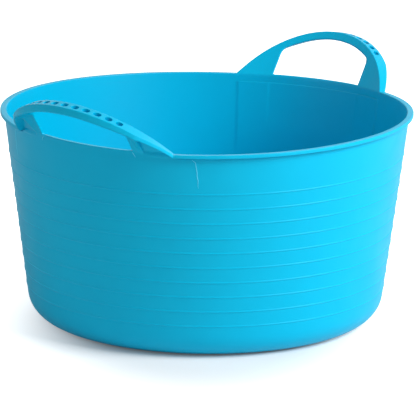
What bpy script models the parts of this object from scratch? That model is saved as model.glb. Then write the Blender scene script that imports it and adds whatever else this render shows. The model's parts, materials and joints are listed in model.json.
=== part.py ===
"""Flexible two-handled tub, a single moulding in soft polyethylene.

The frame has its origin at the middle of the underside, +Z up. One handle stands over -Y,
the other over +Y. The moulding is divided along its natural zones: the floor dished up below,
the rounded heel, the tapering side wall with its raised rings, the rim bead on either side,
and for each handle the pocketed grip bow with the two gussets that carry it. Each handle
flexes about a line across its two feet, just above the rim.
"""
import math

import bmesh
import bpy
import numpy as np

# Tub shell
RIM_RADIUS = 0.190
RIM_HEIGHT = 0.193
BASE_RADIUS = 0.1621
WALL = 0.0025
FLOOR = 0.003
HEEL_RADIUS = 0.025
HEEL_TOP = 0.026
RECESS_RADIUS = 0.123
RECESS_DEPTH = 0.0012

# Rim bead
BEAD_STANDOFF = 0.0034
BEAD_DEPTH = 0.0035
BEAD_ROUNDING = 0.0014

# Raised rings round the wall
RING_COUNT = 10
RING_PITCH = 0.0138
RING_HEIGHT = 0.0005
RING_WIDTH = 0.0016
TOP_RING_DROP = 0.0375
SHOULDER_DROP = 0.0075

# Handle bows
HANDLE_SPAN = 0.1655
HANDLE_RISE = 0.044
HANDLE_LEAN = math.radians(34.5)
HAND_OPENING = 0.0978
OPENING_SILL = 0.001
GRIP_WIDTH = 0.011
GRIP_DEPTH = 0.007
GRIP_TILT = math.radians(8.5)
GRIP_ROUNDING = 0.0028
EDGE_ROUNDING = 0.0007
ROUNDED_SHARE = 0.6
BOW_END_RISE = 0.0055

# Grip pockets
POCKET_COUNT = 12
POCKET_PITCH = 0.0106
POCKET_LENGTH = 0.0074
POCKET_WIDTH = 0.0066
POCKET_DEPTH = 0.0048
POCKET_DRAFT = 0.0006
POCKET_POWER = 0.7
CORE_HEIGHT = 0.002

# Gussets under the bow
POST_WIDTH = 0.0078
POST_INSET = 0.0012
WEB = 0.0025
WEB_END_HEIGHT = 0.0038
POST_STEP = 0.0002

# Flexing line of each handle
HINGE_RADIUS = 0.014
HINGE_SHIFT = 0.001
SEAM_LIFT = 0.0005
SEAM = 0.0003

# Facets
SHARP_ANGLE = math.radians(32)
WALL_STEP = math.radians(5.7)
BOW_STEPS = 44
BASE_STEPS = 64
HEEL_STEPS = 6
FOOT_STEPS = 3
WEB_STEPS = 5
POST_STEPS = 2
ARC_STEPS = 3
POCKET_SIDES = 14

HALF_SEAM = SEAM / 2
WALL_TOP_RADIUS = RIM_RADIUS - BEAD_STANDOFF
TAPER = (WALL_TOP_RADIUS - BASE_RADIUS) / RIM_HEIGHT
LEAN = math.tan(HANDLE_LEAN)


def wall_outside(z):
    """Radius of the wall's outer face at a height."""
    return BASE_RADIUS + TAPER * z


def wall_inside(z):
    """Radius of the wall's inner face at a height."""
    return wall_outside(z) - WALL


WALL_LEAN = math.atan(TAPER)
HEEL_START = BASE_RADIUS - HEEL_RADIUS * math.tan((math.pi / 2 - WALL_LEAN) / 2)
RIM_INSIDE = wall_inside(RIM_HEIGHT)
SPAN_ANGLE = math.asin(HANDLE_SPAN / 2 / RIM_INSIDE)
OPENING_ANGLE = math.asin(HAND_OPENING / 2 / RIM_INSIDE)
POST_ANGLE = OPENING_ANGLE + POST_WIDTH / RIM_INSIDE


def bow_rise(angle):
    """Height of the bow's inner top edge above the rim, an arch that ends at the feet."""
    return HANDLE_RISE * (1 - (angle / SPAN_ANGLE) ** 2)


def angle_at_rise(rise):
    """Angle from the handle's middle at which the bow has come down to a height."""
    return SPAN_ANGLE * math.sqrt(1 - rise / HANDLE_RISE)


def inner_face(rise):
    """Radius of the handle's leaning inner face at a height above the rim."""
    return RIM_INSIDE + LEAN * rise


END_ANGLE = angle_at_rise(BOW_END_RISE)
END_CHORD = inner_face(BOW_END_RISE) * math.sin(END_ANGLE)
ROOT_MIDDLE = (RIM_INSIDE * math.cos(END_ANGLE) + WALL_TOP_RADIUS * math.cos(OPENING_ANGLE)) / 2
HINGE_REACH = ROOT_MIDDLE + HINGE_SHIFT
HINGE_Z = RIM_HEIGHT + SEAM_LIFT + HINGE_RADIUS


def seam_height(reach, clearance):
    """Height of the round seam under a handle, a clearance inside its cylinder."""
    radius = HINGE_RADIUS - clearance
    across = min(abs(reach - HINGE_REACH), radius)
    return HINGE_Z - math.sqrt(radius ** 2 - across ** 2)


def arc(centre, radius, start, end, steps):
    """Points along a circular arc in the plane of radius and height."""
    angles = np.linspace(start, end, steps + 1)
    return [(centre[0] + radius * math.cos(a), centre[1] + radius * math.sin(a)) for a in angles]


def foot_ease(angle):
    """How far the bow has turned into the bead: 0 up to the posts, 1 at the foot."""
    past = (abs(angle) - POST_ANGLE) / (SPAN_ANGLE - POST_ANGLE)
    return min(max(past, 0.0), 1.0)


def bow_width(angle):
    """Radial width of the bow, which narrows from the posts to the bead."""
    return GRIP_WIDTH + (RIM_RADIUS - RIM_INSIDE - GRIP_WIDTH) * foot_ease(angle)


def bow_slope(angle):
    """Outward fall of the bow's top face, which levels out towards the bead."""
    return math.tan(GRIP_TILT) * (1 - foot_ease(angle))


def bow_top(angle):
    """The bow's top face in the plane of radius and height, from inside to outside."""
    rise = max(bow_rise(angle), 0.0)
    width = bow_width(angle)
    inside = inner_face(rise)
    outside = inside + width
    top = RIM_HEIGHT + rise
    outer_top = top - width * bow_slope(angle)
    soft = EDGE_ROUNDING + (BEAD_ROUNDING - EDGE_ROUNDING) * foot_ease(angle)
    crown = arc((outside - soft, outer_top - soft), soft, math.pi / 2, 0.0, ARC_STEPS - 1)
    return [(inside, top - EDGE_ROUNDING), (inside + EDGE_ROUNDING, top)] + crown


def at_tub(angle, radius, z):
    """Point of the tub, the angle taken from the front handle's middle."""
    return (radius * math.sin(angle), -radius * math.cos(angle), z)


def end_turn(angle):
    """How far a section turns from radial to square across the flexing line, 1 at the seam."""
    before = (abs(angle) - POST_ANGLE) / (END_ANGLE - POST_ANGLE)
    after = (2 * SPAN_ANGLE - END_ANGLE - abs(angle)) / (SPAN_ANGLE - END_ANGLE) / 2
    return min(max(min(before, after), 0.0), 1.0)


def bow_points(angle, section):
    """Place a section of the bow or bead, turned square to the seam at the bow's end."""
    inside = inner_face(max(bow_rise(angle), 0.0))
    turn = end_turn(angle)
    points = []
    for radius, z in section:
        x, y, z = at_tub(angle, radius, z)
        points.append((x - turn * (radius - inside) * math.sin(angle), y, z))
    return points


def from_hinge(point):
    """A point of the tub seen from the middle of the front handle's flexing line."""
    x, y, z = point
    return (x, y + HINGE_REACH, z - HINGE_Z)


def clear_scene():
    """Start from an empty scene."""
    for item in list(bpy.data.objects):
        bpy.data.objects.remove(item, do_unlink=True)


def polyethylene(name, colour, roughness):
    """Soft moulded polyethylene in one colour."""
    material = bpy.data.materials.new(name)
    material.use_nodes = True
    shader = material.node_tree.nodes["Principled BSDF"]
    shader.inputs["Base Color"].default_value = (*colour, 1.0)
    shader.inputs["Roughness"].default_value = roughness
    shader.inputs["Metallic"].default_value = 0.0
    material.diffuse_color = (*colour, 1.0)
    return material


def mesh_object(name, mesh, material):
    """Put a mesh in the scene as a named piece."""
    piece = bpy.data.objects.new(name, mesh)
    bpy.context.collection.objects.link(piece)
    if not mesh.materials:
        mesh.materials.append(material)
    return piece


def loft(name, sections, joined):
    """Skin closed sections in turn, capping both ends unless the last joins the first."""
    shape = bmesh.new()
    rings = [[shape.verts.new(point) for point in section] for section in sections]
    pairs = list(zip(rings, rings[1:]))
    if joined:
        pairs.append((rings[-1], rings[0]))
    for near, far in pairs:
        for i, corner in enumerate(near):
            j = (i + 1) % len(near)
            shape.faces.new((corner, near[j], far[j], far[i]))
    if not joined:
        shape.faces.new(rings[0])
        shape.faces.new(rings[-1])
    bmesh.ops.triangulate(shape, faces=[face for face in shape.faces if len(face.verts) > 4])
    bmesh.ops.recalc_face_normals(shape, faces=shape.faces)
    if shape.calc_volume(signed=True) < 0:
        bmesh.ops.reverse_faces(shape, faces=shape.faces)
    mesh = bpy.data.meshes.new(name)
    shape.to_mesh(mesh)
    shape.free()
    mesh.shade_smooth()
    mesh.set_sharp_from_angle(angle=SHARP_ANGLE)
    return mesh


def heel_arc(offset):
    """The rounded heel, tangent to the wall and the floor, moved inward by an offset."""
    points = arc((HEEL_START, HEEL_RADIUS), HEEL_RADIUS - offset, -WALL_LEAN, -math.pi / 2,
                 HEEL_STEPS)
    return points[:-1] + [(HEEL_START + HALF_SEAM, offset)]


def floor_profile():
    """Half section of the floor, from its middle above, over the edge, to its middle below."""
    edge = HEEL_START - HALF_SEAM
    return [(0.0, FLOOR), (edge, FLOOR), (edge, 0.0), (RECESS_RADIUS, 0.0),
            (RECESS_RADIUS - RECESS_DEPTH, RECESS_DEPTH), (0.0, RECESS_DEPTH)]


def heel_profile():
    """Closed section of the heel: up its inside, over its top edge, down its outside."""
    top = [(wall_inside(HEEL_TOP), HEEL_TOP), (wall_outside(HEEL_TOP), HEEL_TOP)]
    return heel_arc(FLOOR)[::-1] + top + heel_arc(0.0)


def turned_piece(name, profile, closed, material):
    """Turn a profile about the middle of the tub."""
    mesh = bpy.data.meshes.new(name)
    edges = [(i, i + 1) for i in range(len(profile) - 1)]
    if closed:
        edges.append((len(profile) - 1, 0))
    mesh.from_pydata([(radius, 0.0, z) for radius, z in profile], edges, [])
    piece = mesh_object(name, mesh, material)
    turn = piece.modifiers.new("turned", "SCREW")
    turn.axis = "Z"
    turn.angle = math.tau
    turn.steps = BASE_STEPS
    turn.render_steps = BASE_STEPS
    turn.use_merge_vertices = True
    turn.merge_threshold = 0.00005
    turn.use_smooth_shade = True


def ring_heights():
    """Heights of the raised rings, from the lowest up."""
    top = RIM_HEIGHT - TOP_RING_DROP
    return [top - RING_PITCH * i for i in reversed(range(RING_COUNT))]


def wall_section(angle, top):
    """Closed section of the wall at one angle: up the inside, over the top, down the rings."""
    start = HEEL_TOP + SEAM
    shoulder = RIM_HEIGHT - SHOULDER_DROP
    inside_top, outside_top = top
    section = [(wall_inside(start), start), (wall_inside(shoulder), shoulder)]
    section += [(wall_inside(inside_top), inside_top), (wall_outside(outside_top), outside_top)]
    section.append((wall_outside(shoulder), shoulder))
    for z in reversed(ring_heights()):
        upper = z + RING_WIDTH / 2
        lower = z - RING_WIDTH / 2
        section.append((wall_outside(upper), upper))
        section.append((wall_outside(z) + RING_HEIGHT, z))
        section.append((wall_outside(lower), lower))
    section.append((wall_outside(start), start))
    return [at_tub(angle, radius, z) for radius, z in section]


def seam_edge(angle):
    """Heights of the wall's top edge, inside and outside, under a handle's foot."""
    across = math.cos(angle)
    inside = seam_height(RIM_INSIDE * across, -HALF_SEAM) - HALF_SEAM
    outside = seam_height(WALL_TOP_RADIUS * across, -HALF_SEAM) - HALF_SEAM
    return inside, outside


def wall_edge_stations():
    """Angles over one handle, each with the heights of the wall's top edge there."""
    sill = (RIM_HEIGHT + OPENING_SILL,) * 2
    under_bead = (RIM_HEIGHT - BEAD_DEPTH - SEAM,) * 2
    stub_end = math.asin((END_CHORD - HALF_SEAM) / WALL_TOP_RADIUS)
    bead_start = math.asin((END_CHORD + HALF_SEAM) / WALL_TOP_RADIUS)
    sill_end = OPENING_ANGLE - HALF_SEAM / RIM_INSIDE
    sill_half = np.linspace(0, sill_end, 1 + math.ceil(sill_end / WALL_STEP))
    foot_half = np.linspace(OPENING_ANGLE, stub_end, FOOT_STEPS + 1)
    half = [(a, sill) for a in sill_half]
    half += [(a, seam_edge(a)) for a in foot_half]
    half += [(bead_start, under_bead)]
    mirrored = [(-a, top) for a, top in reversed(half[1:])]
    return mirrored + half


def make_wall(material):
    """Side wall: one tapering band whose top edge dips under the bead and rises at the feet."""
    handle = wall_edge_stations()
    under_bead = handle[-1][1]
    reach = math.pi / 2 - handle[-1][0]
    between = 2 * math.ceil(reach / WALL_STEP)
    plain = np.linspace(handle[-1][0], math.pi - handle[-1][0], between + 1)[1:-1]
    half = handle + [(a, under_bead) for a in plain]
    stations = half + [(a + math.pi, top) for a, top in half]
    sections = [wall_section(a, top) for a, top in stations]
    return mesh_object("side_wall", loft("side_wall", sections, True), material)


def bead_section(angle):
    """Rounded section of the rim bead, whose top ramps up to meet the bow at a foot."""
    bottom = RIM_HEIGHT - BEAD_DEPTH
    under = arc((RIM_RADIUS - BEAD_ROUNDING, bottom + BEAD_ROUNDING), BEAD_ROUNDING,
                0.0, -math.pi / 2, ARC_STEPS - 1)
    return bow_top(angle) + under + [(wall_inside(bottom), bottom)]


def make_bead(name, material, turned):
    """Rim bead along one side, from the front handle's foot to the rear one's."""
    ramp = np.linspace(END_ANGLE, SPAN_ANGLE, FOOT_STEPS + 1)
    plain = np.linspace(SPAN_ANGLE, math.pi / 2, math.ceil(math.pi / 2 / WALL_STEP))
    quarter = [bow_points(a, bead_section(a)) for a in (*ramp, *plain[1:])]
    quarter[0] = [(x + HALF_SEAM, y, z) for x, y, z in quarter[0]]
    mirrored = [[(x, -y, z) for x, y, z in section] for section in reversed(quarter[:-1])]
    piece = mesh_object(name, loft(name, quarter + mirrored, False), material)
    piece.rotation_euler.z = math.pi if turned else 0.0
    return piece


def bow_section(angle):
    """Section of the bow in the plane of radius and height, kept above the seam."""
    top = bow_top(angle)
    outside, outer_top = top[-1]
    natural = top[1][1] - GRIP_DEPTH
    across = math.cos(angle)
    bottom = max(natural, seam_height(RIM_INSIDE * across, HALF_SEAM))
    outer_bottom = max(natural - bow_width(angle) * bow_slope(angle),
                       seam_height(WALL_TOP_RADIUS * across, HALF_SEAM))
    soft = min(GRIP_ROUNDING, ROUNDED_SHARE * (outer_top - outer_bottom))
    under = arc((outside - soft, outer_bottom + soft), soft, 0.0, -math.pi / 2, ARC_STEPS)
    inside = inner_face(bottom - RIM_HEIGHT)
    return top + under + [(inside + EDGE_ROUNDING, bottom), (inside, bottom + EDGE_ROUNDING / 2)]


def bow_middle(angle):
    """Middle of the bow's top face."""
    width = bow_width(angle) / 2
    rise = bow_rise(angle)
    height = RIM_HEIGHT + rise - width * bow_slope(angle)
    return np.array(from_hinge(at_tub(angle, inner_face(rise) + width, height)))


def pocket_angles():
    """Angles of the pockets, spaced evenly along the bow and about its middle."""
    angles = np.linspace(0, END_ANGLE, 9 * BOW_STEPS)
    line = np.array([bow_middle(a) for a in angles])
    steps = np.linalg.norm(np.diff(line, axis=0), axis=1)
    along = np.concatenate([[0.0], np.cumsum(steps)])
    places = [(i - (POCKET_COUNT - 1) / 2) * POCKET_PITCH for i in range(POCKET_COUNT)]
    return [math.copysign(float(np.interp(abs(s), along, angles)), s) for s in places]


def pocket_outline(length, width):
    """Rounded outline of a pocket, a superellipse."""
    outline = []
    for i in range(POCKET_SIDES):
        cosine = math.cos(math.tau * i / POCKET_SIDES)
        sine = math.sin(math.tau * i / POCKET_SIDES)
        along = math.copysign(abs(cosine) ** POCKET_POWER, cosine) * length / 2
        across = math.copysign(abs(sine) ** POCKET_POWER, sine) * width / 2
        outline.append((along, across))
    return outline


def pocket_cutter(angle):
    """Drafted core that leaves one pocket, square to the bow's top face."""
    near = END_ANGLE / BOW_STEPS
    middle = bow_middle(angle)
    along = bow_middle(angle + near) - bow_middle(angle - near)
    along /= np.linalg.norm(along)
    outward = np.array([math.sin(angle), -math.cos(angle), -math.tan(GRIP_TILT)])
    across = outward - along * outward.dot(along)
    across /= np.linalg.norm(across)
    up = np.cross(across, along)
    up *= math.copysign(1.0, up[2])
    sections = []
    for height, shrink in ((CORE_HEIGHT, -POCKET_DRAFT / 2), (-POCKET_DEPTH, POCKET_DRAFT)):
        outline = pocket_outline(POCKET_LENGTH - 2 * shrink, POCKET_WIDTH - 2 * shrink)
        sections.append([tuple(middle + along * u + across * v + up * height) for u, v in outline])
    return sections


def pocket_cores():
    """All the cores of one grip in one mesh of separate bodies."""
    cores = bmesh.new()
    for angle in pocket_angles():
        part = loft("core", pocket_cutter(angle), False)
        cores.from_mesh(part)
        bpy.data.meshes.remove(part)
    mesh = bpy.data.meshes.new("pocket_cores")
    cores.to_mesh(mesh)
    cores.free()
    return mesh


def bow_mesh():
    """Grip bow from foot to foot, its end faces square to the flexing line."""
    angles = np.linspace(-END_ANGLE, END_ANGLE, BOW_STEPS + 1)
    sections = [bow_points(angle, bow_section(angle)) for angle in angles]
    sections[0] = [(x + HALF_SEAM, y, z) for x, y, z in sections[0]]
    sections[-1] = [(x - HALF_SEAM, y, z) for x, y, z in sections[-1]]
    return loft("grip", [[from_hinge(point) for point in ring] for ring in sections], False)


def make_grip(name, mesh, cores, hinge, material):
    """Grip of one handle, with its pockets cut by the cores."""
    piece = mesh_object(name, mesh, material)
    piece.parent = hinge
    cutter = mesh_object(name + "_cores", cores, material)
    cutter.parent = hinge
    cutter.hide_render = True
    cutter.display_type = "WIRE"
    cut = piece.modifiers.new("pockets", "BOOLEAN")
    cut.operation = "DIFFERENCE"
    cut.object = cutter
    return piece


def gusset_section(angle, solid):
    """Section of a gusset: the full post where solid, else the thin web at its back."""
    across = math.cos(angle)
    root_inside = seam_height(RIM_INSIDE * across, HALF_SEAM)
    root_outside = seam_height(WALL_TOP_RADIUS * across, HALF_SEAM)
    rise = bow_rise(angle) - GRIP_DEPTH - SEAM
    thick = bow_width(angle) - POST_INSET if solid else WEB
    back_root = inner_face(root_inside - RIM_HEIGHT)
    back_top = inner_face(rise)
    top = RIM_HEIGHT + rise
    corners = [(back_root, root_inside), (back_top, top),
               (back_top + thick, top - thick * bow_slope(angle)),
               (back_root + WEB, root_outside)]
    return [from_hinge(point) for point in bow_points(angle, corners)]


def gusset_mesh():
    """One gusset: a post beside the hand opening with a thin web running out to the foot."""
    web_end = angle_at_rise(GRIP_DEPTH + SEAM_LIFT + WEB_END_HEIGHT)
    web_start = POST_ANGLE + POST_STEP / RIM_INSIDE
    post = np.linspace(OPENING_ANGLE, POST_ANGLE, POST_STEPS + 1)
    web = np.linspace(web_start, web_end, WEB_STEPS + 1)
    sections = [gusset_section(a, True) for a in post]
    sections += [gusset_section(a, False) for a in web]
    return loft("gusset", sections, False)


def mirrored_mesh(mesh):
    """The same shape on the other side of the handle's middle."""
    shape = bmesh.new()
    shape.from_mesh(mesh)
    for corner in shape.verts:
        corner.co.x = -corner.co.x
    bmesh.ops.reverse_faces(shape, faces=shape.faces)
    other = bpy.data.meshes.new(mesh.name + "_mirrored")
    shape.to_mesh(other)
    shape.free()
    return other


def make_hinge(name, turned):
    """Empty in the middle of a handle's flexing line."""
    hinge = bpy.data.objects.new(name, None)
    bpy.context.collection.objects.link(hinge)
    side = 1.0 if turned else -1.0
    hinge.location = (0.0, side * HINGE_REACH, HINGE_Z)
    hinge.rotation_euler.z = math.pi if turned else 0.0
    return hinge


def make_handles(material):
    """Both handles, alike and facing opposite ways."""
    bow = bow_mesh()
    cores = pocket_cores()
    right = gusset_mesh()
    left = mirrored_mesh(right)
    for place, turned in (("front", False), ("rear", True)):
        hinge = make_hinge(place + "_hinge", turned)
        make_grip(place + "_grip", bow, cores, hinge, material)
        for side, mesh in (("right", right), ("left", left)):
            gusset = mesh_object(place + "_gusset_" + side, mesh, material)
            gusset.parent = hinge


def build():
    """Make every zone of the tub."""
    clear_scene()
    shell = polyethylene("ldpe_shell", (0.0, 0.44, 0.70), 0.36)
    grip = polyethylene("ldpe_handles", (0.0, 0.45, 0.71), 0.34)
    turned_piece("base_dish", floor_profile(), False, shell)
    turned_piece("heel_ring", heel_profile(), True, shell)
    make_wall(shell)
    make_bead("rim_bead_right", shell, False)
    make_bead("rim_bead_left", shell, True)
    make_handles(grip)


build()
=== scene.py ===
import json
import math

import bmesh
import bpy
from mathutils import Matrix, Vector
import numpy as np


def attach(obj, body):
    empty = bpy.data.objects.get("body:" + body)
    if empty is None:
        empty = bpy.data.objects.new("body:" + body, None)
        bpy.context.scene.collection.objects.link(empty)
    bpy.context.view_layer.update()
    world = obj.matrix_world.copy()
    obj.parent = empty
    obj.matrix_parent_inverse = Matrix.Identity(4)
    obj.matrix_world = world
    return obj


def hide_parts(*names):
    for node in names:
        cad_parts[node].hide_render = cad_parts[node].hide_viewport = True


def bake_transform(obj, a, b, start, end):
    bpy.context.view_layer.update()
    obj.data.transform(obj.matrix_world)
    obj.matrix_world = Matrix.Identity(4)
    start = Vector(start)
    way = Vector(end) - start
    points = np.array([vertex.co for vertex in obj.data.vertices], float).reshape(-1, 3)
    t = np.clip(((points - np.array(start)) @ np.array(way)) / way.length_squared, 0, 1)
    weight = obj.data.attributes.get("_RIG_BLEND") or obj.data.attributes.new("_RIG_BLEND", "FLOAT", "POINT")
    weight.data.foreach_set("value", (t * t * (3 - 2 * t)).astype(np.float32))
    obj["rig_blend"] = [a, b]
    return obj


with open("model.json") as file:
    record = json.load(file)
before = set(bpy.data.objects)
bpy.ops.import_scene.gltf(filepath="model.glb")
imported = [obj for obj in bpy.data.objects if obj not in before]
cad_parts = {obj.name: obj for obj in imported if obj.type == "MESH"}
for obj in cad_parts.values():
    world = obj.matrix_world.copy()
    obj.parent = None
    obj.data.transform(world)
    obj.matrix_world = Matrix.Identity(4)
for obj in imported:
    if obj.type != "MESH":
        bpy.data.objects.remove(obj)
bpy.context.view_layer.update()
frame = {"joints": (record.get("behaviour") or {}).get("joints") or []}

# Tub shell: the recessed base, the rounded heel and the tapering wall, all one shot of soft
# low-density polyethylene. Ten fine rings stand up round the outside, and the edges of the
# mould's handle inserts show inside, below each handle. Metres and degrees throughout.
RIM_RADIUS = 0.190
RIM_HEIGHT = 0.193
BASE_RADIUS = 0.1621
WALL = 0.0025
FLOOR = 0.003
HEEL_RADIUS = 0.025
RECESS_RADIUS = 0.123
RECESS_DEPTH = 0.0012
RECESS_ROUNDING = 0.0006
GATE_RADIUS = 0.0045
GATE_HEIGHT = 0.0007
GATE_SLOPE = 0.0006
GATE_ROUNDING = 0.0002
GATE_FILLET = 0.0003
BEAD_STANDOFF = 0.0034
SHELL_DROP = 0.0075
TUCK = 0.0003
RING_COUNT = 10
RING_PITCH = 0.0138
RING_HEIGHT = 0.0005
RING_WIDTH = 0.0018
RING_SECTION = (-1.7, -1, -0.6, -0.25, 0.25, 0.6, 1, 1.7)
TOP_RING_DROP = 0.0375
ROUNDING_STEPS = 10
WALL_STEPS = 40
TURN_STEP = 1.5
INSERT_EDGE = 26.2
INSERT_INNER_EDGE = 16.4
INSERT_STEP = 0.0006
INSERT_INNER_STEP = 0.0003
INSERT_REACH = 0.079
INSERT_INNER_REACH = 0.047
INSERT_FADE = (0.75, 1.1)
INSERT_INNER_FADE = (0.7, 1.1)
INSERT_SOFTNESS = 0.6
INSERT_SHIFTS = (-1.0, -0.6, -0.3, 0, 0.3, 0.6, 1.0)
SAG = 0.0018
SAG_MEAN = 0.0003
SAG_TURN = 25
LDPE_BLUE = "#00B6DC"
LDPE_BLUE_DEEP = "#00B0D8"
FLOW_SIZE = 0.05
DRAW_SPACING = 0.002
GRAIN_SIZE = 0.0012
TAPER = (RIM_RADIUS - BEAD_STANDOFF - BASE_RADIUS) / RIM_HEIGHT
RIM_INSIDE = BASE_RADIUS + TAPER * RIM_HEIGHT - WALL


def wall_outside(z):
    """Radius of the wall's outer face at a height."""
    return BASE_RADIUS + TAPER * z


def rounded_path(corners):
    """Path through corners given as radius, height and rounding."""
    path = []
    for i, (radius, z, rounding) in enumerate(corners):
        here = Vector((radius, z))
        if rounding == 0:
            path.append(here)
            continue
        back = (Vector(corners[i - 1][:2]) - here).normalized()
        ahead = (Vector(corners[i + 1][:2]) - here).normalized()
        half = back.angle(ahead) / 2
        centre = here + (back + ahead).normalized() * rounding / math.sin(half)
        start = here + back * rounding / math.tan(half) - centre
        end = here + ahead * rounding / math.tan(half) - centre
        path += [centre + start.slerp(end, k / ROUNDING_STEPS).normalized() * rounding
                 for k in range(ROUNDING_STEPS + 1)]
    return path


def tucked_edge(wall_top, step):
    """End of the wall with a fine lip behind the skin that carries on above it."""
    below = wall_top - Vector((TAPER, 1)) * TUCK
    return [below, wall_top, wall_top + Vector((step, 2 * TUCK))]


def outer_profile(top):
    """From the middle below, over the recess and the heel, up past the rings."""
    gate = RECESS_DEPTH - GATE_HEIGHT
    path = rounded_path([(0, gate, 0), (GATE_RADIUS, gate, GATE_ROUNDING),
                         (GATE_RADIUS + GATE_SLOPE, RECESS_DEPTH, GATE_FILLET),
                         (RECESS_RADIUS - RECESS_DEPTH, RECESS_DEPTH, RECESS_ROUNDING),
                         (RECESS_RADIUS, 0, RECESS_ROUNDING), (BASE_RADIUS, 0, HEEL_RADIUS),
                         (wall_outside(top), top, 0)])
    wall_top = path.pop()
    for i in reversed(range(RING_COUNT)):
        middle = RIM_HEIGHT - TOP_RING_DROP - RING_PITCH * i
        for share in RING_SECTION:
            z = middle + share * RING_WIDTH / 2
            proud = RING_HEIGHT * (math.cos(math.pi * min(abs(share), 1)) + 1) / 2
            path.append(Vector((wall_outside(z) + proud, z)))
    return path + tucked_edge(wall_top, -TUCK)


def inner_profile(top):
    """From the middle of the floor, round the heel and up the wall in even steps."""
    path = rounded_path([(0, FLOOR, 0),
                         (wall_outside(FLOOR) - WALL, FLOOR, HEEL_RADIUS - FLOOR),
                         (wall_outside(top) - WALL, top, 0)])
    wall_top = path.pop()
    foot = path[-1]
    path += [foot.lerp(wall_top, k / WALL_STEPS) for k in range(1, WALL_STEPS)]
    return path + tucked_edge(wall_top, TUCK)


def share_between(value, low, high):
    """0 up to low, 1 from high on, and in proportion between."""
    return min(max((value - low) / (high - low), 0.0), 1.0)


def soft_turn(value, low, high):
    """0 up to low, 1 from high on, with a soft turn between."""
    share = share_between(value, low, high)
    return share * share * (3 - 2 * share)


def insert_face(turn, drop, edge, reach, fade):
    """1 on the face of a mould insert, 0 beside its edge and below its reach.

    It fades out between two shares of the reach.
    """
    beside = soft_turn(turn, edge - INSERT_SOFTNESS, edge + INSERT_SOFTNESS)
    below = soft_turn(drop, reach * fade[0], reach * fade[1])
    return (1 - beside) * (1 - below)


def insert_relief(turn, z):
    """How far the mould's inserts leave the wall raised inside, at degrees from a handle."""
    drop = RIM_HEIGHT - z
    outer = insert_face(turn, drop, INSERT_EDGE, INSERT_REACH, INSERT_FADE)
    inner = insert_face(turn, drop, INSERT_INNER_EDGE, INSERT_INNER_REACH, INSERT_INNER_FADE)
    return INSERT_STEP * outer - INSERT_INNER_STEP * inner


def shell_turns():
    """Angles round the tub, closer together at the edges of the inserts."""
    quarter = {TURN_STEP * i for i in range(round(90 / TURN_STEP))}
    for middle in (INSERT_EDGE, INSERT_INNER_EDGE):
        quarter |= {middle + shift for shift in INSERT_SHIFTS}
    half = sorted(quarter) + [90] + sorted(180 - turn for turn in quarter if turn > 0)
    return half + [180 + turn for turn in half]


def sag(degrees, z):
    """How far the soft wall hangs down beside the handles; it stands up between them."""
    wave = SAG_MEAN + SAG * math.cos(math.radians(2 * (degrees - SAG_TURN)))
    return wave * min(z / RIM_HEIGHT, 1.0) ** 2


def round_tub(degrees, radius, z):
    """Point of the tub, the angle taken from the front handle's middle."""
    angle = math.radians(degrees)
    return Vector((radius * math.sin(angle), -radius * math.cos(angle), z - sag(degrees, z)))


def add_skin(shell, path, inside):
    """Turn a profile round the middle; the inner skin faces in and carries the relief."""
    middle = shell.verts.new((0, 0, path[0].y))
    grid = []
    for turn in shell_turns():
        from_handle = abs(math.remainder(turn, 180))
        column = [middle]
        for point in path[1:]:
            relief = insert_relief(from_handle, point.y) if inside else 0.0
            column.append(shell.verts.new(round_tub(turn, point.x - relief, point.y)))
        grid.append(column)
    for near, far in zip(grid, grid[1:] + grid[:1]):
        for k in range(len(path) - 1):
            corners = [near[k], far[k], far[k + 1], near[k + 1]]
            if k == 0:
                corners.remove(middle)
            shell.faces.new(reversed(corners) if inside else corners)


def mesh_of(shape, name):
    """Mesh of a worked shape, which is freed."""
    mesh = bpy.data.meshes.new(name)
    shape.to_mesh(mesh)
    shape.free()
    return mesh


def link_object(name, data):
    """Object made from its data and linked to the scene."""
    made = bpy.data.objects.new(name, data)
    bpy.context.collection.objects.link(made)
    return made


def make_shell():
    """Outer and inner skins, both open at the top, where the rim and handles carry on."""
    top = RIM_HEIGHT - SHELL_DROP
    shell = bmesh.new()
    add_skin(shell, outer_profile(top), False)
    add_skin(shell, inner_profile(top), True)
    mesh = mesh_of(shell, "tub_shell")
    mesh.shade_smooth()
    return link_object("tub_shell", mesh)


def linear(hex_colour):
    """Linear colour of an sRGB hex value."""
    parts = [int(hex_colour[i:i + 2], 16) / 255 for i in (1, 3, 5)]
    return (*[p / 12.92 if p <= 0.04045 else ((p + 0.055) / 1.055) ** 2.4 for p in parts], 1.0)


def add_node(tree, kind, inputs, **settings):
    """Add a node with its settings; an input is a value or another node's output."""
    node = tree.nodes.new(kind)
    for name, value in settings.items():
        setattr(node, name, value)
    for name, value in inputs.items():
        if isinstance(value, bpy.types.NodeSocket):
            tree.links.new(value, node.inputs[name])
        else:
            node.inputs[name].default_value = value
    return node


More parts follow.
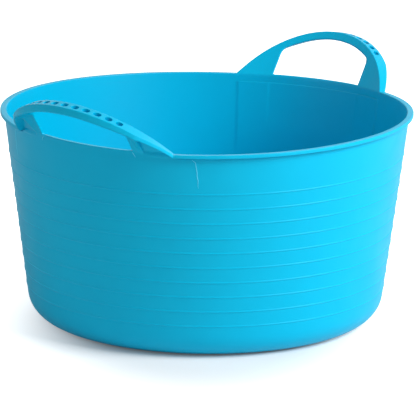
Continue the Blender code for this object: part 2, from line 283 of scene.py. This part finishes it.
def moulded_ldpe(name, light, deep, roughness):
    """Injection-moulded LDPE: a waxy satin skin with faint flow marks and fine draw lines.

    The grain is 1.2 mm and the draw lines 2 mm apart, coarser than the real ones, to show.
    """
    material = bpy.data.materials.new(name)
    material.use_nodes = True
    tree = material.node_tree
    shader = tree.nodes["Principled BSDF"]
    shader.inputs["IOR"].default_value = 1.51
    shader.inputs["Specular IOR Level"].default_value = 0.11
    place = add_node(tree, "ShaderNodeTexCoord", {}).outputs["Object"]
    flow = add_node(tree, "ShaderNodeTexNoise",
                    {"Vector": place, "Scale": 1 / FLOW_SIZE, "Detail": 3.0, "Distortion": 1.0})
    tint = add_node(tree, "ShaderNodeMixRGB", {"Fac": flow.outputs["Fac"],
                                               "Color1": linear(light), "Color2": linear(deep)})
    stretched = add_node(tree, "ShaderNodeMapping", {"Vector": place, "Scale": (1.0, 1.0, 0.03)})
    draw = add_node(tree, "ShaderNodeTexNoise",
                    {"Vector": stretched.outputs["Vector"], "Scale": 1 / DRAW_SPACING,
                     "Detail": 1.0})
    grain = add_node(tree, "ShaderNodeTexNoise",
                     {"Vector": place, "Scale": 1 / GRAIN_SIZE, "Detail": 2.0})
    height = add_node(tree, "ShaderNodeMath", {0: draw.outputs["Fac"], 1: grain.outputs["Fac"]},
                      operation="ADD")
    relief = add_node(tree, "ShaderNodeBump", {"Height": height.outputs["Value"],
                                               "Strength": 0.06, "Distance": 0.0002})
    gloss = add_node(tree, "ShaderNodeMapRange",
                     {"Value": flow.outputs["Fac"], "From Min": 0.3, "From Max": 0.7,
                      "To Min": roughness - 0.03, "To Max": roughness + 0.04})
    tree.links.new(tint.outputs["Color"], shader.inputs["Base Color"])
    tree.links.new(gloss.outputs["Result"], shader.inputs["Roughness"])
    tree.links.new(relief.outputs["Normal"], shader.inputs["Normal"])
    return material


ldpe_shell = moulded_ldpe("ldpe_shell_moulded", LDPE_BLUE, LDPE_BLUE_DEEP, 0.36)
tub_shell = make_shell()
tub_shell.data.materials.append(ldpe_shell)
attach(tub_shell, "tub")
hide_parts("base_dish", "heel_ring", "side_wall")

# Rim bead: a soft half-round moulded outside the top of the wall, from one handle's foot
# round to the other's. Same LDPE and same shot; its parting line makes the sharp edge below.
# The handles' skins are made by the same functions, because the bow runs into the bead.
BEAD_DEPTH = 0.0035
BEAD_ROUNDING = 0.0013
BEAD_MARGIN = 0.36
BEAD_START = 30
BEAD_STEP = 2.5
BEAD_CREASE = 0.7
FOOT_DEPTH = 0.0032
FOOT_LIP = 0.0005
HANDLE_SPAN = 0.1655
HANDLE_RISE = 0.043
HANDLE_LEAN = 34.5
HAND_OPENING = 0.0983
SILL = 0.001
SILL_CREST = 0.0003
SILL_FALL = 0.0011
GRIP_WIDTH = 0.0115
GRIP_DEPTH = 0.0073
GRIP_TILT = 10.5
GRIP_EDGE = 0.0008
GRIP_ROUNDING = 0.0028
SOFFIT_SHARE = 0.6
UNDERSIDE_SHARE = 0.55
THINNING_START = 12
POST_WIDTH = 0.0079
POST_LEAN = 1.0
RIB_WIDTH = 0.0019
RIB_REACH = 0.0050
RIB_COVE = 2.4
RIB_TOP = 0.018
RIB_EDGE = 0.15
OPENING_EDGE = 0.0022
CORNER_FALL = 0.0012
CORNER_TURN = 4
WEB = 0.0025
RECESS_WEB = 0.0015
POCKET_WIDTH = 0.0076
BEAD_WIDTH = RIM_RADIUS - RIM_INSIDE
LEAN = math.tan(math.radians(HANDLE_LEAN))
SPAN_ANGLE = math.degrees(math.asin(HANDLE_SPAN / 2 / RIM_INSIDE))
OPENING_ANGLE = math.degrees(math.asin(HAND_OPENING / 2 / RIM_INSIDE))
RIB_ANGLE = OPENING_ANGLE + math.degrees(POST_WIDTH / RIM_INSIDE)
POST_ANGLE = RIB_ANGLE + math.degrees(RIB_WIDTH / RIM_INSIDE)
ANGLE_SLACK = 0.01
HARD_TURN = 33
# Height over the rim of each row of the wall, and its least gap to the bow's underside
OUTER_ROWS = {1: (-0.0056, 0.0026), 2: (-0.0038, 0.0016), 3: (-0.0032, 0.0012),
              4: (-0.0012, 0.0009), 5: (SILL, 0.0006)}
INNER_ROWS = {24: (0.0, 0.0009), 25: (-0.0045, 0.0016)}
LIP_ROWS = (3, 4)
# Rows that only the hand opening has, each midway between an outer and an inner row
MIDDLE_ROWS = {"sill": (5, 23), "low": (6, 22), "high": (7, 21), "soffit": (8, 20)}
LEANING_ROWS = {5, 6, 7, 8, 20, 21, 22, 23, "low", "high", "soffit"}
ROUNDED_ROWS = {9, 10, 11, 12, 13, 14, 17, 18, 19, "sill"}
SOFFIT_ROWS = {8, "soffit", 20}
TOP_ROW = 15
WHOLE_CHAIN = tuple(range(27))
SILL_CHAIN = (0, 1, 2, 3, 4, 5, "sill", 23, 24, 25, 26)
BOW_CHAIN = (*range(8, 21), "soffit", 8)


def blend_in(start, end, share):
    """Value between two others."""
    return start + (end - start) * share


def point_between(first, second, share):
    """Point between two section points."""
    return tuple(blend_in(a, b, share) for a, b in zip(first, second))


def at_opening_end(turn):
    """Whether an angle is one end of the hand opening."""
    return abs(abs(turn) - OPENING_ANGLE) < ANGLE_SLACK


def in_opening(turn):
    """Whether an angle lies in the hand opening, short of its ends."""
    return abs(turn) < OPENING_ANGLE - ANGLE_SLACK


def inner_face(rise):
    """Radius of the inner face at a height over the rim: the wall below, the lean above."""
    return RIM_INSIDE + (LEAN if rise > 0 else TAPER) * rise


def foot_share(turn):
    """0 up to the posts, 1 from the foot on, where the bow has become the bead."""
    return share_between(abs(turn), POST_ANGLE, SPAN_ANGLE)


def corner_share(turn):
    """0 along the middle of the hand opening, 1 at its ends."""
    return soft_turn(abs(turn), OPENING_ANGLE - CORNER_TURN, OPENING_ANGLE)


def bow_rise(turn):
    """Height of the bow's inner top edge over the rim."""
    return max(HANDLE_RISE * (1 - (turn / SPAN_ANGLE) ** 2), 0.0)


def bow_depth(turn):
    """Depth of the bow, thinner toward its feet, and of the bead beyond them."""
    if foot_share(turn) == 1:
        return BEAD_DEPTH
    return blend_in(GRIP_DEPTH, FOOT_DEPTH, share_between(abs(turn), THINNING_START, SPAN_ANGLE))


def post_reach(turn, rise):
    """How far the post stands out from the inner face: thin at the opening, full at the rib."""
    if abs(turn) > POST_ANGLE + ANGLE_SLACK:
        return RECESS_WEB
    up = share_between(rise, 0.0, RIB_TOP)
    strip = blend_in(WEB, OPENING_EDGE, up)
    rib = WEB + RIB_REACH * (1 - (1 - up) ** 2)
    return blend_in(strip, rib, share_between(abs(turn), OPENING_ANGLE, RIB_ANGLE) ** RIB_COVE)


def outer_rows(turn, under):
    """Rows 0 to 5, up the wall's outer face to the sill, the post or the bead."""
    share = foot_share(turn)
    lip = 4 * FOOT_LIP * share * (1 - share)
    rows = {0: (wall_outside(RIM_HEIGHT - SHELL_DROP), -SHELL_DROP)}
    for row, (height, gap) in OUTER_ROWS.items():
        z = min(height, under - gap)
        rows[row] = (wall_outside(RIM_HEIGHT + z) + (lip if row in LIP_ROWS else 0), z)
    radius, top = rows[5]
    if in_opening(turn):
        rows[5] = (radius, top - SILL_FALL)
        rows[4] = (rows[4][0], rows[4][1] - SILL_FALL / 2)
    else:
        rows[5] = (inner_face(top) + post_reach(turn, top), top)
    return rows


def bow_rows(turn, straight_under, under):
    """Rows 8 to 20, round the bow or bead from its underside over the top to the inside."""
    share = foot_share(turn)
    rise = bow_rise(turn)
    width = blend_in(GRIP_WIDTH, BEAD_WIDTH, share)
    edge = blend_in(GRIP_EDGE, BEAD_ROUNDING, share)
    rounding = blend_in(GRIP_ROUNDING, BEAD_ROUNDING, share)
    margin = blend_in((GRIP_WIDTH - POCKET_WIDTH) / 2, BEAD_MARGIN * width, share)
    fall = math.tan(math.radians(GRIP_TILT)) * (1 - share)
    inside = inner_face(rise)
    outside = inside + width
    outer_top = rise - width * fall
    outer_under = straight_under - width * fall
    reach = post_reach(turn, under)
    if in_opening(turn):
        reach = blend_in(SOFFIT_SHARE * width, reach, corner_share(turn))
    rows = {8: (inner_face(under) + reach, under - reach * fall), 10: (outside, outer_under)}
    rows[9] = point_between(rows[8], rows[10], UNDERSIDE_SHARE)
    rows[11] = (outside, min(outer_under + rounding, (outer_under + outer_top) / 2))
    rows[12] = (outside, outer_top - edge)
    rows[13] = (outside, outer_top)
    for row, across in ((14, width - edge), (15, width - margin), (16, margin), (17, edge)):
        rows[row] = (inside + across, rise - across * fall)
    rows[18] = (inside, rise)
    rows[19] = (inner_face(rise - edge), rise - edge)
    rows[20] = (inner_face(under), under)
    return rows


def rim_rows(turn):
    """Points of the section by row, up the outside, over the top and down the inside.

    Radius and height over the rim. 0-5 wall, 6-7 strip, rib or web, 8-10 underside, 11-13
    outer face, 14-17 top, 18-22 inner face, 23-26 wall inside.
    """
    straight_under = under = bow_rise(turn) - bow_depth(turn)
    if in_opening(turn) or at_opening_end(turn):
        under -= CORNER_FALL * corner_share(turn) ** 2
    rows = outer_rows(turn, under) | bow_rows(turn, straight_under, under)
    for row, share in ((6, 1 / 3), (7, 2 / 3)):
        z = blend_in(rows[5][1], rows[8][1], share)
        rows[row] = (inner_face(z) + post_reach(turn, z), z)
    sill_height, sill_gap = OUTER_ROWS[5]
    top_of_wall = min(sill_height, under - sill_gap)
    inner_heights = {23: top_of_wall, 22: blend_in(top_of_wall, under, 1 / 3),
                     21: blend_in(top_of_wall, under, 2 / 3), 26: -SHELL_DROP}
    for row, (height, gap) in INNER_ROWS.items():
        inner_heights[row] = min(height, under - gap)
    for row, z in inner_heights.items():
        rows[row] = (inner_face(z), z)
    return rows


def rim_column(cage, turn):
    """One column of the cage's corners, by row, with the rows that only the opening has."""
    rows = rim_rows(turn)
    if in_opening(turn) or at_opening_end(turn):
        for name, (outer, inner) in MIDDLE_ROWS.items():
            rows[name] = point_between(rows[outer], rows[inner], 0.5)
    if in_opening(turn):
        rows["sill"] = (rows["sill"][0], rows["sill"][1] + SILL_CREST)
        for row in (6, 7, 21, 22, "low", "high"):
            del rows[row]
    in_post = not in_opening(turn) and abs(turn) < POST_ANGLE + RIB_EDGE + ANGLE_SLACK
    column = {}
    for row, (radius, height) in rows.items():
        leaning = in_post and row in LEANING_ROWS
        lean = POST_LEAN * max(height, 0.0) / RIB_TOP if leaning else 0.0
        here = turn - math.copysign(lean, turn)
        column[row] = cage.verts.new(round_tub(here, radius, RIM_HEIGHT + height))
    return column


def close_opening(cage, column):
    """Close the section at one end of the hand opening, from the sill up to the soffit."""
    levels = [(outer, name, inner) for name, (outer, inner) in MIDDLE_ROWS.items()]
    for lower, upper in zip(levels, levels[1:]):
        for k in (0, 1):
            cage.faces.new([column[lower[k]], column[lower[k + 1]],
                            column[upper[k + 1]], column[upper[k]]])


def rim_cage(turns):
    """Cage of the rim between the first and last angle, with the hand opening where it has one."""
    cage = bmesh.new()
    columns = {turn: rim_column(cage, turn) for turn in turns}
    faces = {}
    for near_turn, far_turn in zip(turns, turns[1:]):
        near = columns[near_turn]
        far = columns[far_turn]
        opened = in_opening(near_turn) or in_opening(far_turn)
        for chain in ((SILL_CHAIN, BOW_CHAIN) if opened else (WHOLE_CHAIN,)):
            for low, high in zip(chain, chain[1:]):
                corners = (near[low], near[high], far[high], far[low])
                faces[near_turn, low] = cage.faces.new(corners)
    for turn in filter(at_opening_end, turns):
        close_opening(cage, columns[turn])
    bmesh.ops.recalc_face_normals(cage, faces=cage.faces)
    cage.normal_update()
    if faces[turns[len(turns) // 2], TOP_ROW].normal.z < 0:
        bmesh.ops.reverse_faces(cage, faces=cage.faces)
        cage.normal_update()
    return cage, columns, faces


def sharpen(cage, columns, crease):
    """Crease the cage's edges that turn hard, but not those along the rounded rows."""
    row_of = {corner: row for column in columns.values() for row, corner in column.items()}
    layer = cage.edges.layers.float.new("crease_edge")
    for edge in cage.edges:
        ends = {row_of.get(corner) for corner in edge.verts}
        soft = ends <= (ROUNDED_ROWS if len(ends) == 1 else SOFFIT_ROWS)
        if len(edge.link_faces) == 2 and not soft:
            if edge.calc_face_angle(0.0) > math.radians(HARD_TURN):
                edge[layer] = crease


def turn_round(shape, turned):
    """Turn a shape made in front or on the right half round, where it is wanted opposite."""
    half_turn = Matrix.Rotation(math.pi if turned else 0.0, 3, "Z")
    bmesh.ops.rotate(shape, verts=shape.verts, cent=(0, 0, 0), matrix=half_turn)


def skin_object(name, cage, material):
    """Smooth the cage into the piece's final mesh."""
    piece = link_object(name, mesh_of(cage, name + "_cage"))
    smooth = piece.modifiers.new("smooth", "SUBSURF")
    smooth.levels = 2
    smooth.render_levels = 2
    smooth.boundary_smooth = "PRESERVE_CORNERS"
    evaluated = piece.evaluated_get(bpy.context.evaluated_depsgraph_get())
    piece.data = bpy.data.meshes.new_from_object(evaluated)
    piece.modifiers.clear()
    piece.data.shade_smooth()
    piece.data.materials.append(material)
    return piece


def make_bead(name, turned):
    """One side's bead, from foot to foot."""
    steps = round((180 - 2 * BEAD_START) / BEAD_STEP)
    cage, columns, _ = rim_cage([BEAD_START + BEAD_STEP * i for i in range(steps + 1)])
    sharpen(cage, columns, BEAD_CREASE)
    turn_round(cage, turned)
    return skin_object(name, cage, ldpe_shell)


for side, turned in (("right", False), ("left", True)):
    bead = make_bead("rim_bead_skin_" + side, turned)
    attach(bead, "tub")
    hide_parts("rim_bead_" + side)

# Handles: each a broad bow moulded with the tub in the same LDPE. Twelve blind pockets lighten
# its flat top, and a slanted strip, a fine rib and a thin web carry it at each end. It bends
# about its feet, so its skin is held by the tub below and turns above.
POCKET_COUNT = 12
POCKET_PITCH = 0.0106
POCKET_LENGTH = 0.0084
POCKET_DEPTH = 0.0046
POCKET_LIP = 0.0004
# Depth and inset of the rounding at the lip, the side and the rounding at the floor
POCKET_SIDES = ((0.0005, 0.0002), (POCKET_DEPTH - 0.0012, 0.0003), (0.0007, 0.0006))
POCKET_CREASE = 0.2
HANDLE_CREASE = 0.75
POST_TURNS = (16.5, 17.3)
FOOT_TURNS = (19.8, 21.2, 22.6, 24.1, 25.3, 26.2, 27.3, 28.4)
BOW_STEPS = 60
BEND_START = 0.0012
BEND_END = 0.028
HINGES = {joint["child"]: joint["pos_m"] for joint in frame["joints"]}


def bow_length(turn):
    """Length along the bow's top from its middle."""
    points = []
    for i in range(BOW_STEPS + 1):
        here = turn * i / BOW_STEPS
        rise = bow_rise(here)
        points.append(round_tub(here, inner_face(rise) + GRIP_WIDTH / 2, rise))
    return sum((far - near).length for near, far in zip(points, points[1:]))


def turn_at_length(length):
    """Angle from the handle's middle that lies a length along the bow."""
    low, high = 0.0, SPAN_ANGLE
    for _ in range(30):
        middle = (low + high) / 2
        if bow_length(middle) < length:
            low = middle
        else:
            high = middle
    return low


def pocket_edges():
    """Pairs of angles between which the pockets lie, on the positive side."""
    centres = [POCKET_PITCH * (i + 0.5) for i in range(POCKET_COUNT // 2)]
    half = POCKET_LENGTH / 2
    edges = [[round(turn_at_length(s + end), 2) for end in (-half, half)] for s in centres]
    edges[-1][1] = round(OPENING_ANGLE, 2)
    return edges


def handle_turns(edges):
    """Angles of the cage's columns over one handle."""
    half = {turn for pair in edges for turn in pair}
    posts = (OPENING_ANGLE, *POST_TURNS, RIB_ANGLE, POST_ANGLE, POST_ANGLE + RIB_EDGE)
    half |= {round(turn, 2) for turn in (*posts, *FOOT_TURNS, SPAN_ANGLE, BEAD_START)}
    half = sorted(half)
    return [-turn for turn in reversed(half)] + half


def sink_pocket(cage, group):
    """Press one pocket into the bow's top: a rounded lip, steep sides and a rounded floor."""
    layer = cage.edges.layers.float["crease_edge"]
    bmesh.ops.inset_region(cage, faces=group, thickness=POCKET_LIP)
    for depth, inset in POCKET_SIDES:
        bmesh.ops.inset_region(cage, faces=group, thickness=inset, depth=-depth)
    for face in group:
        for edge in face.edges:
            edge[layer] = POCKET_CREASE


def make_handle(name, turned):
    """Skin of one handle, with the piece of wall and bead that carries it."""
    edges = pocket_edges()
    turns = handle_turns(edges)
    cage, columns, faces = rim_cage(turns)
    sharpen(cage, columns, HANDLE_CREASE)
    for low, high in edges + [[-far, -near] for near, far in edges]:
        sink_pocket(cage, [faces[turn, TOP_ROW] for turn in turns
                           if low - ANGLE_SLACK < turn < high - ANGLE_SLACK])
    turn_round(cage, turned)
    return skin_object(name, cage, ldpe_handles)


ldpe_handles = moulded_ldpe("ldpe_handles_moulded", LDPE_BLUE, LDPE_BLUE_DEEP, 0.33)
for place, turned in (("front", False), ("rear", True)):
    skin = make_handle(place + "_handle_skin", turned)
    reach = HINGES[place + "_handle"][1]
    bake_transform(skin, "tub", place + "_handle", start=(0, reach, RIM_HEIGHT + BEND_START),
             end=(0, reach, RIM_HEIGHT + BEND_END))
    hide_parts(place + "_grip", place + "_gusset_left", place + "_gusset_right")

# Flash: where the mould's parts meet, a hair of the same LDPE is left along each sill, and a fine
# crooked witness line runs down outside each foot. Both get a pale blue, a painted highlight
# for the light these thin ridges catch and let through.
FLASH_SIZE = 0.00042
FLASH_END = 15.3
FLASH_STEP = 0.9
FLASH_DROP = 0.0003
FLASH_TUCK = 0.0007
TICK_SIZE = 0.0003
WITNESS_SIZE = 0.00024
RIDGE_SIDES = 6
RIDGE_TIP = 0.25
RIDGE_SWELL = 0.4
# Degrees from the handle's middle, and height over the rim
TICK = [(15.1, 0.0006), (15.3, -0.0006), (15.6, -0.0022), (16.0, -0.0042), (16.1, -0.0052)]
WITNESS = [(31.6, -0.0042), (31.9, -0.0056), (32.6, -0.0074), (32.7, -0.011), (33.0, -0.016),
           (33.0, -0.020), (33.3, -0.024), (33.2, -0.028), (33.4, -0.031)]


def on_wall(turn, rise, proud=0.0):
    """Point by the wall's outer face, at a height over the rim."""
    return round_tub(turn, wall_outside(RIM_HEIGHT + rise) + proud, RIM_HEIGHT + rise)


def add_ridge(ridges, line, size):
    """Thin ridge along a line of points, pointed at both ends."""
    rings = []
    last = len(line) - 1
    for i, point in enumerate(line):
        ahead = (line[min(i + 1, last)] - line[max(i - 1, 0)]).normalized()
        out = Vector((point.x, point.y, 0))
        out = (out - ahead * out.dot(ahead)).normalized()
        side = ahead.cross(out)
        radius = size * min(1.0, RIDGE_TIP + RIDGE_SWELL * min(i, last - i))
        turns = [2 * math.pi * k / RIDGE_SIDES for k in range(RIDGE_SIDES)]
        rings.append([ridges.verts.new(point + (out * math.cos(t) + side * math.sin(t)) * radius)
                      for t in turns])
    ridges.faces.new(reversed(rings[0]))
    ridges.faces.new(rings[-1])
    for near, far in zip(rings, rings[1:]):
        for k in range(RIDGE_SIDES):
            ridges.faces.new([near[k - 1], near[k], far[k], far[k - 1]])


def make_flash(name, turned):
    """Flash along one sill with its two ends, and the two witness lines beside the handle."""
    ridges = bmesh.new()
    steps = round(2 * FLASH_END / FLASH_STEP)
    sill = [on_wall(-FLASH_END + FLASH_STEP * i, SILL - FLASH_DROP, -FLASH_TUCK)
            for i in range(steps + 1)]
    add_ridge(ridges, sill, FLASH_SIZE)
    for side in (-1, 1):
        add_ridge(ridges, [on_wall(side * turn, rise) for turn, rise in TICK], TICK_SIZE)
        add_ridge(ridges, [on_wall(side * turn, rise) for turn, rise in WITNESS], WITNESS_SIZE)
    bmesh.ops.recalc_face_normals(ridges, faces=ridges.faces)
    turn_round(ridges, turned)
    mesh = mesh_of(ridges, name)
    mesh.shade_smooth()
    mesh.materials.append(pale_flash_painted_highlight)
    return link_object(name, mesh)


# The pale blue is a painted highlight: the thin ridges read light because of the light they catch and let
# through, not because the plastic is paler.
pale_flash_painted_highlight = moulded_ldpe("ldpe_flash_painted_highlight", "#74E6FF", "#66DEFA", 0.36)
for place, turned in (("front", False), ("rear", True)):
    flash = make_flash(place + "_flash", turned)
    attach(flash, "tub")

# Floor, light and camera: a white studio floor, one broad soft lamp high on the right, a
# weaker one far on the left, and a long lens a little above the rim.
CAMERA_DISTANCE = 3.042
CAMERA_TURN = 35.5
CAMERA_ELEVATION = 13.5
CAMERA_ROLL = 0.556
CAMERA_LENS = 284.7
CAMERA_SENSOR = 36
AIM_HEIGHT = RIM_HEIGHT / 2
AIM_RIGHT = 0.0014
AIM_UP = 0.0033
FLOOR_SIZE = 8
FLOOR_GAP = 0.0003
SHADOW_REACH = 0.05
SHADOW_SHAPE = (0.78, 1.25, 1.0)
SHADOW_START = 0.11
SHADOW_END = 0.285
SHADOW_GLOW = 0.06
SURROUND_LIGHT = 0.34
WHITE = "#FFFFFF"
FLOOR_PAINT = "#E7E7E7"


def matt_floor():
    """White painted floor: the tub's soft shadow shows near it, partly cast and partly painted shade where
    the camera-only glow is held low in an oval, and further out it reads white.
    """
    material = bpy.data.materials.new("white_floor")
    material.use_nodes = True
    tree = material.node_tree
    tree.nodes.clear()
    seen = add_node(tree, "ShaderNodeLightPath", {}).outputs["Is Camera Ray"]
    place = add_node(tree, "ShaderNodeNewGeometry", {}).outputs["Position"]
    turn = math.radians(CAMERA_TURN)
    middle = (SHADOW_REACH * math.sin(turn), -SHADOW_REACH * math.cos(turn), 0.0)
    # Painted shade: the glow that only the camera sees is weakest in this oval round the tub, shifted toward
    # the camera, so it sets the reach and depth of the shadow there.
    oval = add_node(tree, "ShaderNodeMapping",
                    {"Vector": place, "Location": middle, "Rotation": (0.0, 0.0, turn),
                     "Scale": SHADOW_SHAPE}, vector_type="TEXTURE")
    from_middle = add_node(tree, "ShaderNodeVectorMath", {0: oval.outputs["Vector"]},
                           operation="LENGTH")
    far = add_node(tree, "ShaderNodeMapRange",
                   {"Value": from_middle.outputs["Value"], "From Min": SHADOW_START,
                    "From Max": SHADOW_END, "To Min": SHADOW_GLOW, "To Max": 1.0},
                   interpolation_type="SMOOTHSTEP")
    lift = add_node(tree, "ShaderNodeMath", {0: seen, 1: far.outputs["Result"]},
                    operation="MULTIPLY")
    paint = add_node(tree, "ShaderNodeBsdfDiffuse", {"Color": linear(FLOOR_PAINT)})
    glow = add_node(tree, "ShaderNodeEmission", {"Color": linear(WHITE),
                                                 "Strength": lift.outputs["Value"]})
    both = add_node(tree, "ShaderNodeAddShader", {0: paint.outputs["BSDF"],
                                                  1: glow.outputs["Emission"]})
    add_node(tree, "ShaderNodeOutputMaterial", {"Surface": both.outputs["Shader"]})
    return material


def white_surround():
    """World that looks white to the camera and in reflections, and lights the tub gently."""
    world = bpy.data.worlds.new("studio")
    bpy.context.scene.world = world
    world.use_nodes = True
    tree = world.node_tree
    tree.nodes.clear()
    ray = add_node(tree, "ShaderNodeLightPath", {})
    seen = add_node(tree, "ShaderNodeMath", {0: ray.outputs["Is Camera Ray"],
                                             1: ray.outputs["Is Glossy Ray"]},
                    operation="MAXIMUM")
    gentle = add_node(tree, "ShaderNodeBackground", {"Color": linear(WHITE),
                                                     "Strength": SURROUND_LIGHT})
    white = add_node(tree, "ShaderNodeBackground", {"Color": linear(WHITE), "Strength": 1.0})
    both = add_node(tree, "ShaderNodeMixShader", {0: seen.outputs["Value"],
                                                  1: gentle.outputs["Background"],
                                                  2: white.outputs["Background"]})
    add_node(tree, "ShaderNodeOutputWorld", {"Surface": both.outputs["Shader"]})


def make_floor():
    """Wide floor just under the tub's base, so that the two faces don't coincide."""
    mesh = bpy.data.meshes.new("floor")
    corners = [(x * FLOOR_SIZE, y * FLOOR_SIZE, 0) for x, y in ((-1, -1), (1, -1), (1, 1), (-1, 1))]
    mesh.from_pydata(corners, [], [(0, 1, 2, 3)])
    mesh.materials.append(matt_floor())
    floor = link_object("floor", mesh)
    floor.location.z = -FLOOR_GAP
    return floor


def from_camera_side(turn, elevation, distance):
    """Point round the tub, the angle taken from the camera's side towards its right."""
    angle = math.radians(CAMERA_TURN + turn)
    flat = distance * math.cos(math.radians(elevation))
    height = AIM_HEIGHT + distance * math.sin(math.radians(elevation))
    return Vector((flat * math.sin(angle), -flat * math.cos(angle), height))


def soft_lamp(name, turn, elevation, distance, size, power):
    """Square lamp aimed at the tub, unseen by the camera."""
    data = bpy.data.lights.new(name, "AREA")
    data.size = size
    data.energy = power
    lamp = link_object(name, data)
    lamp.location = from_camera_side(turn, elevation, distance)
    aim = Vector((0, 0, AIM_HEIGHT)) - lamp.location
    lamp.rotation_euler = aim.to_track_quat("-Z", "Y").to_euler()
    lamp.visible_camera = False


def make_camera():
    """Long lens at the photograph's angle."""
    data = bpy.data.cameras.new("camera")
    data.lens = CAMERA_LENS
    data.sensor_width = CAMERA_SENSOR
    camera = link_object("camera", data)
    camera.location = from_camera_side(0, CAMERA_ELEVATION, CAMERA_DISTANCE)
    aim = Vector((0, 0, AIM_HEIGHT)) - camera.location
    right = aim.cross(Vector((0, 0, 1))).normalized()
    up = right.cross(aim).normalized()
    aim += right * AIM_RIGHT + up * AIM_UP
    turn = aim.to_track_quat("-Z", "Y")
    roll = Matrix.Rotation(math.radians(CAMERA_ROLL), 3, "Z").to_quaternion()
    camera.rotation_euler = (turn @ roll).to_euler()
    bpy.context.scene.camera = camera


make_floor()
white_surround()
soft_lamp("key", turn=62, elevation=34, distance=2.4, size=1.3, power=67)
soft_lamp("fill", turn=-78, elevation=20, distance=2.6, size=1.6, power=9)
make_camera()
bpy.context.scene.view_settings.view_transform = "Standard"
